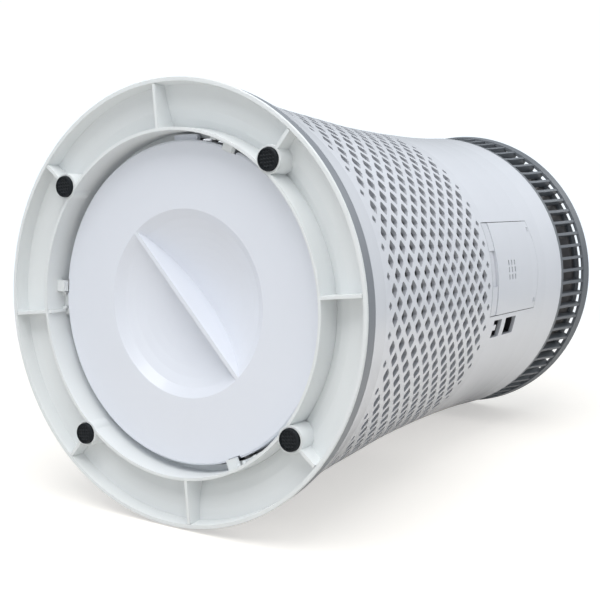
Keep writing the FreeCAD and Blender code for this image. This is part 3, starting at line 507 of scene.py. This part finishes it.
def extrude_rows(bm, step, rows):
    """Extrudes every edge by a step, row after row."""
    edges = list(bm.edges)
    for _ in range(rows):
        made = bmesh.ops.extrude_edge_only(bm, edges=edges)["geom"]
        bmesh.ops.translate(bm, vec=step, verts=of_kind(made, bmesh.types.BMVert))
        edges = [edge for edge in of_kind(made, bmesh.types.BMEdge)
                 if abs((edge.verts[0].co - edge.verts[1].co).dot(step)) < 1e-9]


def rounded_ring(bm, inner, outer, low, high, corner, steps=96):
    """Ring of rounded rectangular section about the machine's axis."""
    made = bmesh.ops.create_grid(bm, x_segments=1, y_segments=1, size=0.5)
    middle = Matrix.Translation(((inner + outer) / 2, 0.0, (low + high) / 2)) @ Matrix.Rotation(math.pi / 2, 4, "X")
    shape = middle @ Matrix.Diagonal((outer - inner, high - low, 1.0, 1.0))
    bmesh.ops.transform(bm, matrix=shape, verts=made["verts"])
    bmesh.ops.bevel(bm, geom=made["verts"], offset=corner, segments=4, profile=0.5, affect="VERTICES",
                    material=-1, offset_type="OFFSET")
    section = [e for e in bm.edges if abs(e.verts[0].co.y) < 1e-7 and abs(e.verts[1].co.y) < 1e-7]
    bmesh.ops.delete(bm, geom=[f for f in bm.faces if abs(f.normal.y) > 0.99], context="FACES_ONLY")
    bmesh.ops.spin(bm, geom=section, axis=(0, 0, 1), cent=(0, 0, 0), steps=steps, angle=2 * math.pi, use_merge=True)
    bmesh.ops.remove_doubles(bm, verts=bm.verts, dist=1e-6)
    bmesh.ops.recalc_face_normals(bm, faces=bm.faces)


def stitches(bm, places, length):
    """Short raised thread stitches, each placed by a matrix whose X runs along the seam and Z out of the cloth."""
    shape = Matrix.Diagonal((length, STITCH_WIDTH, 2 * STITCH_PROUD, 1.0))
    for place in places:
        made = bmesh.ops.create_icosphere(bm, subdivisions=1, radius=0.5)
        bmesh.ops.transform(bm, matrix=place @ shape, verts=made["verts"])


def on_cylinder(radius, angle, height):
    """Placing on a cylinder about the machine's axis: Z outwards, X up."""
    out = Vector((math.cos(angle), math.sin(angle), 0.0))
    up = Vector((0.0, 0.0, 1.0))
    return Matrix.Translation(out * radius + up * height) @ Matrix((up, out.cross(up), out)).transposed().to_4x4()


# ------------------------------------------------------------------ operators
class PURIFIER_OT_stage(bpy.types.Operator):
    """Floor, studio lights, world and camera"""

    bl_idname = "purifier.stage"
    bl_label = "Studio"

    def execute(self, context):
        studio = context.scene.purifier_studio
        scene = context.scene
        up = STUDIO_UP
        side = CAMERA_TOP.cross(-CAMERA_AIM).normalized()
        toward = side.cross(up).normalized()
        centre = STUDIO_CENTRE

        floor_paint = self.floor_material(studio.floor_colour)
        turn = Matrix((side, up.cross(side), up)).transposed().to_4x4()
        size = studio.floor_size
        self.floor("studio_floor", Matrix.Translation(up * STUDIO_DROP) @ turn, size, floor_paint)
        upright = self.floor("standing_floor", Matrix.Translation((0, 0, STANDING_DROP)), size, floor_paint)
        for flag in ("visible_shadow", "visible_diffuse", "visible_glossy", "visible_transmission"):
            setattr(upright, flag, False)

        world = bpy.data.worlds.new("studio_world")
        scene.world = world
        world.use_nodes = True
        tree = world.node_tree
        glow = tree.nodes["Background"]
        glow.inputs["Color"].default_value = (*studio.sky_colour, 1.0)
        path = tree.nodes.new("ShaderNodeLightPath")
        seen = tree.nodes.new("ShaderNodeMapRange")
        seen.inputs["To Min"].default_value = studio.sky_light
        seen.inputs["To Max"].default_value = BACKDROP_STRENGTH
        tree.links.new(path.outputs["Is Camera Ray"], seen.inputs["Value"])
        tree.links.new(seen.outputs[0], glow.inputs["Strength"])
        scene.view_settings.view_transform = "Standard"

        self.softbox("key_softbox", centre, centre + up * 1.15 - side * 0.14 + toward * 0.50, 1.2, studio.key_power)
        self.softbox("fill_softbox", centre, centre + toward * 1.3 - side * 0.9 + up * 0.25, 1.2, studio.fill_power)
        self.softbox("back_softbox", centre, centre + side * 1.2 + up * 0.7 - toward * 0.5, 0.8, studio.back_power)

        lens = bpy.data.cameras.new("studio_camera")
        lens.lens, lens.sensor_width, lens.clip_start, lens.clip_end = LENS_MM, 36.0, 0.01, 40.0
        camera = bpy.data.objects.new("studio_camera", lens)
        right = CAMERA_AIM.cross(CAMERA_TOP).normalized()
        top = right.cross(CAMERA_AIM)
        camera.matrix_world = Matrix.Translation(CAMERA_AT) @ Matrix((right, top, -CAMERA_AIM)).transposed().to_4x4()
        scene.collection.objects.link(camera)
        scene.camera = camera
        return {"FINISHED"}

    def floor(self, name, placing, size, paint):
        """Square of floor that isn't part of the model."""
        mesh = bpy.data.meshes.new(name)
        bm = bmesh.new()
        bmesh.ops.create_grid(bm, x_segments=1, y_segments=1, size=size / 2)
        bmesh.ops.transform(bm, matrix=placing, verts=bm.verts)
        bm.to_mesh(mesh)
        bm.free()
        mesh.materials.append(paint)
        floor = bpy.data.objects.new(name, mesh)
        bpy.context.scene.collection.objects.link(floor)
        return floor

    def floor_material(self, colour):
        """Pale floor that shows only from its upper side and fades out away from the machine."""
        material, tree, shader, coords = surface("pale_floor")
        shader.inputs["Base Color"].default_value = (*colour, 1.0)
        rough_by(tree, shader, noise(tree, coords, _Scale=60.0, _Detail=3.0), 0.1, 0.75)
        shader.inputs["Specular IOR Level"].default_value = 0.2
        shader.inputs["Emission Color"].default_value = (1.0, 0.99, 0.975, 1.0)
        path = tree.nodes.new("ShaderNodeLightPath")
        seen = maths(tree, "MULTIPLY", path.outputs["Is Camera Ray"], FLOOR_GLOW_SEEN)
        lift = maths(tree, "ADD", seen, FLOOR_GLOW)
        tree.links.new(lift, shader.inputs["Emission Strength"])
        clear = tree.nodes.new("ShaderNodeBsdfTransparent")
        mix = tree.nodes.new("ShaderNodeMixShader")
        side = tree.nodes.new("ShaderNodeNewGeometry")
        reach = add(tree, "ShaderNodeVectorMath", operation="LENGTH")
        tree.links.new(coords, reach.inputs[0])
        fade = add(tree, "ShaderNodeMapRange", _From_Min=FLOOR_FADE_FROM, _From_Max=FLOOR_FADE_TO)
        fade.interpolation_type = "SMOOTHSTEP"
        tree.links.new(reach.outputs["Value"], fade.inputs["Value"])
        tree.links.new(maths(tree, "MAXIMUM", side.outputs["Backfacing"], fade.outputs[0]), mix.inputs[0])
        tree.links.new(shader.outputs[0], mix.inputs[1])
        tree.links.new(clear.outputs[0], mix.inputs[2])
        out = next(n for n in tree.nodes if n.type == "OUTPUT_MATERIAL")
        tree.links.new(mix.outputs[0], out.inputs["Surface"])
        return material

    def softbox(self, name, aim, at, size, power):
        """Square area light that faces its aim."""
        light = bpy.data.lights.new(name, "AREA")
        light.shape, light.size, light.energy = "SQUARE", size, power
        box = bpy.data.objects.new(name, light)
        box.matrix_world = Matrix.Translation(at) @ (at - aim).to_track_quat("Z", "Y").to_matrix().to_4x4()
        bpy.context.scene.collection.objects.link(box)


class PURIFIER_OT_body(bpy.types.Operator):
    """Base ring, accent band, outer shell and sensor door"""

    bl_idname = "purifier.body"
    bl_label = "Body mouldings"

    def execute(self, context):
        f = context.scene.purifier_finish
        dress(plastic("base_white", f.base_colour, 0.42, 0.0007, 0.05, edge=f.edge_radius), "base_ring")
        dress(plastic("accent_grey", f.accent_colour, 0.34, 0.0006, 0.04, edge=f.edge_radius), "accent_ring")
        # The shell's hole sides and inner faces are darkened with painted shade.
        dress(plastic("shell_white", f.shell_colour, 0.16, 0.0012, 0.006, coat=0.5, edge=0.0004, painted_hole_shade=0.3),
              "outer_shell", "sensor_door")
        return {"FINISHED"}


class PURIFIER_OT_pads(bpy.types.Operator):
    """Four rubber foot pads with a studded tread"""

    bl_idname = "purifier.pads"
    bl_label = "Foot pads"

    def execute(self, context):
        soft = context.scene.purifier_soft
        low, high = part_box("foot_pads")
        circle = (high.x - soft.pad_radius) * math.sqrt(2.0)
        bm = bmesh.new()
        for k in range(4):
            angle = math.radians(45 + 90 * k)
            self.pad(bm, Vector((circle * math.cos(angle), circle * math.sin(angle), 0.0)), low.z, high.z, soft)
        finished("rubber_pads", bm, rubber("pad_rubber", context.scene.purifier_finish.pad_colour), "housing",
                 "pad_rubber", "foot_pads")
        return {"FINISHED"}

    def pad(self, bm, centre, low, high, soft):
        """One pad: a disc with a rounded edge and a lip round a field of small pyramid studs."""
        radius = soft.pad_radius
        disc = bmesh.ops.create_circle(bm, segments=48, radius=radius, cap_ends=True)
        bmesh.ops.transform(bm, matrix=Matrix.Translation(centre + Vector((0, 0, high))), verts=disc["verts"])
        top = disc["verts"][0].link_faces[0]
        wall = bmesh.ops.extrude_face_region(bm, geom=[top], use_keep_orig=True)["geom"]
        bottom = of_kind(wall, bmesh.types.BMFace)[0]
        bmesh.ops.translate(bm, vec=(0, 0, low - high), verts=bottom.verts)
        bmesh.ops.bevel(bm, geom=list(bottom.edges), offset=0.0006, segments=4, profile=0.5, affect="EDGES",
                        material=-1, offset_type="OFFSET")
        own = [f for f in bm.faces if (f.calc_center_median().xy - centre.xy).length < radius]
        bmesh.ops.recalc_face_normals(bm, faces=own)
        bottom = min((f for f in own if f.normal.z < -0.99), key=lambda f: f.calc_center_median().z)
        bmesh.ops.inset_region(bm, faces=[bottom], thickness=0.0005, depth=0.0)
        bmesh.ops.inset_region(bm, faces=[bottom], thickness=0.0001, depth=-STUD_HEIGHT)
        reach = radius - TREAD_MARGIN
        count = int(reach / soft.tread_pitch)
        for i in range(-count, count + 1):
            for j in range(-count, count + 1):
                step = Vector((i * soft.tread_pitch, j * soft.tread_pitch, 0.0))
                if step.length > reach:
                    continue
                made = bmesh.ops.create_cone(bm, cap_ends=True, segments=4, radius1=0.28 * soft.tread_pitch,
                                             radius2=0.64 * soft.tread_pitch, depth=STUD_HEIGHT)
                bmesh.ops.translate(bm, vec=centre + step + Vector((0, 0, low + STUD_HEIGHT / 2)), verts=made["verts"])


class PURIFIER_OT_cover(bpy.types.Operator):
    """Twist-off filter cover"""

    bl_idname = "purifier.cover"
    bl_label = "Filter cover"

    def execute(self, context):
        f = context.scene.purifier_finish
        dress(plastic("cover_white", f.cover_colour, 0.30, 0.0007, 0.02, coat=0.35, edge=f.edge_radius), "filter_cover")
        return {"FINISHED"}


class PURIFIER_OT_louvre(bpy.types.Operator):
    """Finned outlet and the dark ducts behind it"""

    bl_idname = "purifier.louvre"
    bl_label = "Louvre"

    def execute(self, context):
        f = context.scene.purifier_finish
        dress(plastic("slate_grey", f.louvre_colour, 0.38, 0.0006, 0.05, edge=f.edge_radius), "top_grille")
        dress(plastic("duct_grey", (0.185, 0.175, 0.172), 0.5, 0.0008, 0.08), "air_deflector", "outlet_duct",
              "fan_housing", "fan_guard", "motor_mount")
        return {"FINISHED"}


class PURIFIER_OT_inside(bpy.types.Operator):
    """Filter, fan, motor, sensor and boards"""

    bl_idname = "purifier.inside"
    bl_label = "Inner parts"

    def execute(self, context):
        dress(plastic("frame_grey", (0.12, 0.12, 0.12), 0.5, 0.0008, 0.08), "inner_frame", "sensor_tray")
        dress(plastic("impeller_plastic", (0.13, 0.14, 0.15), 0.4, 0.0008, 0.06), "impeller")
        dress(plastic("component_black", (0.02, 0.02, 0.022), 0.4), "inlet_pocket", "power_socket", "board_components",
              "tact_switches")
        dress(plastic("sensor_black", (0.03, 0.03, 0.033), 0.45), "particle_sensor")
        dress(plastic("cap_plastic", (0.55, 0.58, 0.61), 0.4), "filter_bottom_cap", "filter_top_cap", "filter_core")
        dress(metal("steel_screw", (0.60, 0.60, 0.61), 0.35), "base_screws", "door_hinge_pins", "catch_plate",
              "fan_screws", "impeller_nut", "motor_screws", "board_screws")
        dress(metal("bearing_steel", (0.72, 0.72, 0.73), 0.2, turned_z=True), "socket_pins", "motor_shaft",
              "motor_bearings")
        dress(metal("motor_metal", (0.62, 0.63, 0.64), 0.4, turned_z=True), "motor_can", "motor_end_cap")
        dress(metal("lamination_steel", (0.28, 0.29, 0.31), 0.45, turned_z=True), "motor_stator")
        dress(metal("copper_coil", (0.72, 0.32, 0.15), 0.35, turned_z=True), "motor_windings")
        dress(metal("magnet", (0.12, 0.12, 0.13), 0.5), "motor_rotor", "door_magnet")
        dress(circuit("board_green"), "power_board", "control_board")
        dress(clear_lens("lens_clear"), "sensor_lens")
        return {"FINISHED"}


class PURIFIER_OT_media(bpy.types.Operator):
    """Pleated filter paper"""

    bl_idname = "purifier.media"
    bl_label = "Filter paper"

    def execute(self, context):
        soft = context.scene.purifier_soft
        low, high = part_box("filter_media")
        inner, outer = radii("filter_media")
        fold = (outer + inner) / 2
        depth = (outer - inner) / 2 - soft.paper_thickness
        bm = bmesh.new()
        ring = bmesh.ops.create_circle(bm, segments=2 * soft.pleats, radius=fold)
        for k, vertex in enumerate(ring["verts"]):
            vertex.co.xy *= 1.0 + (depth if k % 2 else -depth) / fold
            vertex.co.z = low.z
        extrude_rows(bm, Vector((0, 0, high.z - low.z)), 1)
        thicken(bm, soft.paper_thickness)
        media = finished("pleated_paper", bm, paper("media_paper", (0.80, 0.80, 0.76)), "filter_cartridge",
                         "media_paper", "filter_media")
        return {"FINISHED"}


class PURIFIER_OT_sleeve(bpy.types.Operator):
    """Carbon fabric stretched round the pleats, with its bound edges and stitched lap"""

    bl_idname = "purifier.sleeve"
    bl_label = "Carbon sleeve"

    def execute(self, context):
        soft = context.scene.purifier_soft
        low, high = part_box("carbon_sleeve")
        inner, outer = radii("carbon_sleeve")
        cloth = woven("carbon_fabric", (0.012, 0.012, 0.013), 0.0022)
        radius = (inner + outer) / 2
        bm = bmesh.new()
        ring = bmesh.ops.create_circle(bm, segments=6 * SLEEVE_WAVES, radius=radius)
        for k, vertex in enumerate(ring["verts"]):
            vertex.co.xy *= 1.0 + SLEEVE_WAVE_HEIGHT * math.cos(2 * math.pi * k / 6) / radius
            vertex.co.z = low.z
        extrude_rows(bm, Vector((0, 0, (high.z - low.z) / SLEEVE_ROWS)), SLEEVE_ROWS)
        thicken(bm, soft.sleeve_thickness)
        sleeve = finished("carbon_cloth", bm, cloth, "filter_cartridge", "carbon_fabric", "carbon_sleeve")
        bindings = self.bindings(low.z, high.z, outer)
        lap = self.lap(low.z, high.z, outer, cloth)
        thread = self.thread(low.z, high.z, outer, soft.stitch_pitch)
        return {"FINISHED"}

    def bindings(self, low, high, outer):
        """Tape folded over the sleeve's two edges."""
        bm = bmesh.new()
        for start in (low, high - BINDING_WIDTH):
            ring = bmesh.new()
            rounded_ring(ring, outer - 0.0007, outer, start, start + BINDING_WIDTH, 0.0003, 120)
            mesh = bpy.data.meshes.new("binding")
            ring.to_mesh(mesh)
            ring.free()
            bm.from_mesh(mesh)
            bpy.data.meshes.remove(mesh)
        return finished("sleeve_bindings", bm, woven("binding_tape", (0.02, 0.02, 0.022), 0.0011), "filter_cartridge",
                        "carbon_fabric")

    def lap(self, low, high, outer, cloth):
        """Overlap where the sleeve's ends meet."""
        bm = bmesh.new()
        made = bmesh.ops.create_grid(bm, x_segments=8, y_segments=12, size=0.5)
        height = high - low - 2 * BINDING_WIDTH
        for vertex in made["verts"]:
            angle = SEAM_ANGLE + vertex.co.x * LAP_WIDTH / outer
            vertex.co = on_cylinder(outer - 0.0003, angle, (low + high) / 2 + vertex.co.y * height).translation
        thicken(bm, LAP_THICKNESS)
        return finished("sleeve_lap", bm, cloth, "filter_cartridge", "carbon_fabric")

    def thread(self, low, high, outer, pitch):
        """Two rows of stitches down the lap, clear of the bindings."""
        bm = bmesh.new()
        count = int((high - low - 0.012) / pitch)
        rows = [SEAM_ANGLE + side * SEAM_OFFSET / outer for side in (-1, 1)]
        places = [on_cylinder(outer - 0.00022, angle, low + 0.0068 + k * pitch) for angle in rows for k in range(count)]
        stitches(bm, places, 0.72 * pitch)
        return finished("sleeve_stitches", bm, woven("grey_thread", (0.10, 0.10, 0.11), 0.0006), "filter_cartridge",
                        "carbon_fabric")


class PURIFIER_OT_gasket(bpy.types.Operator):
    """Foam ring that seals the filter against the deck"""

    bl_idname = "purifier.gasket"
    bl_label = "Foam gasket"

    def execute(self, context):
        low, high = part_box("filter_gasket")
        inner, outer = radii("filter_gasket")
        bm = bmesh.new()
        rounded_ring(bm, inner, outer, low.z, high.z, 0.0016)
        gasket = finished("foam_ring", bm, foam("foam_seal", (0.025, 0.026, 0.028)), "filter_cartridge", "foam_seal",
                          "filter_gasket")
        return {"FINISHED"}


class PURIFIER_OT_pull_tab(bpy.types.Operator):
    """Woven tape tab for drawing the filter out"""

    bl_idname = "purifier.pull_tab"
    bl_label = "Pull tab"

    def execute(self, context):
        soft = context.scene.purifier_soft
        low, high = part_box("filter_pull_tab")
        inner, outer = radii("filter_pull_tab")
        turn = Matrix.Rotation(TAB_ANGLE, 4, "Z")
        start, end = inner + 0.0005, math.sqrt(outer ** 2 - (TAB_WIDTH / 2) ** 2)
        top = high.z - 0.0005
        bm = bmesh.new()
        tip = bm.verts.new((start, -TAB_WIDTH / 2, low.z))
        bend = [(start + TAB_BEND * (1 - math.cos(a)), top - TAB_BEND * (1 - math.sin(a)))
                for a in (0.0, 0.4, 0.8, 1.2, math.pi / 2)]
        for x, z in bend + [(end, top)]:
            tip = bmesh.ops.extrude_vert_indiv(bm, verts=[tip])["verts"][0]
            tip.co = (x, -TAB_WIDTH / 2, z)
        extrude_rows(bm, Vector((0, TAB_WIDTH / TAB_ROWS, 0)), TAB_ROWS)
        thicken(bm, TAB_THICKNESS)
        bmesh.ops.transform(bm, matrix=turn, verts=bm.verts)
        finished("pull_tape", bm, woven("strap_fabric", (0.10, 0.19, 0.32), 0.0015), "filter_cartridge", "strap_fabric",
                 "filter_pull_tab")
        bm = bmesh.new()
        below = top - TAB_THICKNESS
        down = Matrix(((1, 0, 0), (0, -1, 0), (0, 0, -1))).to_4x4()
        across = down @ Matrix.Rotation(math.pi / 2, 4, "Z")
        places = []
        for k in range(5):
            x, y = end - 0.011 + k * soft.stitch_pitch * 0.62, -0.0045 + k * soft.stitch_pitch * 0.66
            places += [Matrix.Translation((x, side * 0.0058, below)) @ down for side in (-1, 1)]
            places += [Matrix.Translation((end - inset, y, below)) @ across for inset in (0.012, 0.0015)]
        stitches(bm, [turn @ place for place in places], 0.0016)
        finished("tab_stitches", bm, woven("white_thread", (0.7, 0.7, 0.68), 0.0006), "filter_cartridge",
                 "strap_fabric")
        return {"FINISHED"}


class PURIFIER_OT_controls(bpy.types.Operator):
    """Control panel, buttons, display window and light ring"""

    bl_idname = "purifier.controls"
    bl_label = "Controls"

    def execute(self, context):
        f = context.scene.purifier_finish
        dress(plastic("panel_white", f.shell_colour, 0.2, 0.0012, 0.01, coat=0.4), "control_panel")
        dress(plastic("key_grey", f.louvre_colour, 0.32, 0.0006, 0.04), "button_power", "button_speed",
              "button_timer", "button_light")
        dress(plastic("display_dark", (0.008, 0.009, 0.011), 0.08, 0.0012, 0.004, coat=1.0), "display_window")
        dress(plastic("light_guide", (0.80, 0.86, 0.88), 0.3, 0.0008, 0.02), "light_ring")
        return {"FINISHED"}


class PURIFIER_OT_key_marks(bpy.types.Operator):
    """Raised generic symbols on the four keys: on/off, fan speed, timer and light"""

    bl_idname = "purifier.key_marks"
    bl_label = "Key symbols"

    proud = 0.00014

    def execute(self, context):
        ink = plastic("symbol_white", (0.72, 0.76, 0.80), 0.45, 0.0004, 0.02, edge=0.0003)
        for key, draw in (("power", self.power), ("speed", self.speed), ("timer", self.timer), ("light", self.light)):
            body = key + "_key"
            low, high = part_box("button_" + key)
            bm = bmesh.new()
            draw(bm)
            centre = Vector(((low.x + high.x) / 2, (low.y + high.y) / 2, high.z))
            bmesh.ops.translate(bm, vec=centre, verts=bm.verts)
            bmesh.ops.recalc_face_normals(bm, faces=bm.faces)
            finished(body + "_symbol", bm, ink, body, "light_guide")
        return {"FINISHED"}

    def bar(self, bm, x, y, length, angle=0.0, width=STROKE):
        """Bar with rounded corners, centred at x, y, its length along the angle."""
        made = bmesh.ops.create_cube(bm, size=1.0)
        place = Matrix.Translation((x, y, 0.0)) @ Matrix.Rotation(angle, 4, "Z")
        shape = Matrix.Diagonal((length, width, 2 * self.proud, 1.0))
        bmesh.ops.transform(bm, matrix=place @ shape, verts=made["verts"])
        edges = {e for v in made["verts"] for e in v.link_edges}
        upright = [e for e in edges if abs(e.verts[0].co.z - e.verts[1].co.z) > self.proud]
        bmesh.ops.bevel(bm, geom=upright, offset=0.4 * width, segments=3, profile=0.5, affect="EDGES",
                        material=-1, offset_type="OFFSET")

    def ring(self, bm, radius=SYMBOL_RADIUS):
        rounded_ring(bm, radius - STROKE / 2, radius + STROKE / 2, -self.proud, self.proud, 0.00008, 48)

    def power(self, bm):
        self.ring(bm)
        self.bar(bm, 0.0, 0.0, 0.0022, math.pi / 2)

    def speed(self, bm):
        for k in range(3):
            height = 0.0014 + 0.0011 * k
            self.bar(bm, (k - 1) * 0.0013, (height - 0.0036) / 2, height, math.pi / 2, 0.0006)

    def timer(self, bm):
        self.ring(bm)
        self.bar(bm, 0.0, 0.00055, 0.0011, math.pi / 2)
        self.bar(bm, 0.00035, 0.0, 0.0007)

    def light(self, bm):
        self.ring(bm, 0.00095)
        for k in range(8):
            angle = math.pi * k / 4
            self.bar(bm, SYMBOL_RADIUS * math.cos(angle), SYMBOL_RADIUS * math.sin(angle), 0.0008, angle, 0.0004)


class PURIFIER_PT_panel(bpy.types.Panel):
    """Lists the purifier's operators and settings"""

    bl_label = "Air purifier"
    bl_idname = "PURIFIER_PT_panel"
    bl_space_type = "VIEW_3D"
    bl_region_type = "UI"
    bl_category = "Purifier"

    def draw(self, context):
        column = self.layout.column()
        for operator in OPERATORS:
            column.operator(operator.bl_idname)
        scene = context.scene
        for settings in (scene.purifier_finish, scene.purifier_soft, scene.purifier_studio):
            for key in settings.__annotations__:
                column.prop(settings, key)


OPERATORS = (PURIFIER_OT_stage, PURIFIER_OT_body, PURIFIER_OT_pads, PURIFIER_OT_cover, PURIFIER_OT_louvre,
             PURIFIER_OT_inside, PURIFIER_OT_media, PURIFIER_OT_sleeve, PURIFIER_OT_gasket, PURIFIER_OT_pull_tab,
             PURIFIER_OT_controls, PURIFIER_OT_key_marks)
CLASSES = (PurifierFinish, PurifierSoftParts, PurifierStudio) + OPERATORS + (PURIFIER_PT_panel,)


def register():
    for cls in CLASSES:
        bpy.utils.register_class(cls)
    bpy.types.Scene.purifier_finish = bpy.props.PointerProperty(type=PurifierFinish)
    bpy.types.Scene.purifier_soft = bpy.props.PointerProperty(type=PurifierSoftParts)
    bpy.types.Scene.purifier_studio = bpy.props.PointerProperty(type=PurifierStudio)


def unregister():
    del bpy.types.Scene.purifier_studio
    del bpy.types.Scene.purifier_soft
    del bpy.types.Scene.purifier_finish
    for cls in reversed(CLASSES):
        bpy.utils.unregister_class(cls)


def main():
    register()
    for operator in OPERATORS:
        section, _, name = operator.bl_idname.partition(".")
        getattr(getattr(bpy.ops, section), name)()


if __name__ == "__main__":
    main()
